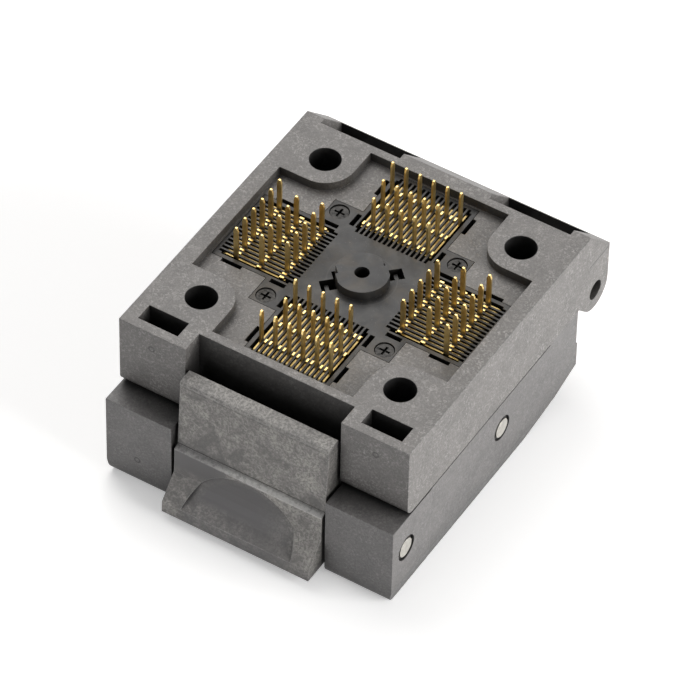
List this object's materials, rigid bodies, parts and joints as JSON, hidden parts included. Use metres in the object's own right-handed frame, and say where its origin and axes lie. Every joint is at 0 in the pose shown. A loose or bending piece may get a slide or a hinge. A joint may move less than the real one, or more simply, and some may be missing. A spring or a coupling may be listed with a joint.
{
  "type": "clamshell ic test socket",
  "caption": "Clamshell test socket for a quad flat package with leads on a 0.5 mm pitch: hinged base with sprung contacts, cover with a presser, and a front latch.",
  "frame": {"origin": "centre of the four mounting holes, on the plane that seats on the board (the tops of the round corner pads)", "axes": "+X along the latch edge, +Y towards the hinge, +Z out of the board side, along the pins; the cover lies below"},
  "size_m": [0.0314, 0.041, 0.0212],
  "materials": {
    "base_resin": "grey-black glass-filled resin, matt and speckled",
    "cover_resin": "grey-black glass-filled resin, matt and speckled",
    "latch_resin": "grey-black resin, scuffed to a lighter grey",
    "insert_resin": "smooth black resin",
    "contact_gold": "bright gold plating",
    "pin_steel": "stainless steel with domed, brushed ends",
    "spring_steel": "bright spring wire",
    "black_screw": "black oxide"
  },
  "bodies": {
    "cover": {"cover": "cover_resin", "presser_pin": "pin_steel", "latch_pin": "pin_steel", "latch_springs": "spring_steel"},
    "base": {"base_body": "base_resin", "contact_insert": "insert_resin", "insert_screws": "black_screw", "device_nest": "insert_resin", "contacts_front_inner": "contact_gold", "contacts_front_middle": "contact_gold", "contacts_front_outer": "contact_gold", "contacts_right_inner": "contact_gold", "contacts_right_middle": "contact_gold", "contacts_right_outer": "contact_gold", "contacts_rear_inner": "contact_gold", "contacts_rear_middle": "contact_gold", "contacts_rear_outer": "contact_gold", "contacts_left_inner": "contact_gold", "contacts_left_middle": "contact_gold", "contacts_left_outer": "contact_gold", "hinge_pin": "pin_steel", "hinge_spring_left": "spring_steel", "hinge_spring_right": "spring_steel"},
    "presser": {"presser": "insert_resin"},
    "latch": {"latch": "latch_resin"}
  },
  "joints": [
    {"name": "base hinge", "type": "hinge", "parent": "cover", "child": "base", "pos_m": [0, 0.01685, -0.0082], "axis": [-1, 0, 0], "range_deg": [0, 100], "deforming": ["hinge_spring_left", "hinge_spring_right"]},
    {"name": "latch", "type": "hinge", "parent": "cover", "child": "latch", "pos_m": [0, -0.0171, -0.0126], "axis": [1, 0, 0], "range_deg": [0, 11], "stiffness_Nm_per_rad": 0.03, "springref_deg": -5.73, "deforming": ["latch_springs"]},
    {"name": "presser", "type": "hinge", "parent": "cover", "child": "presser", "pos_m": [0, 0, -0.0121], "axis": [1, 0, 0], "range_deg": [-2, 2]}
  ]
}
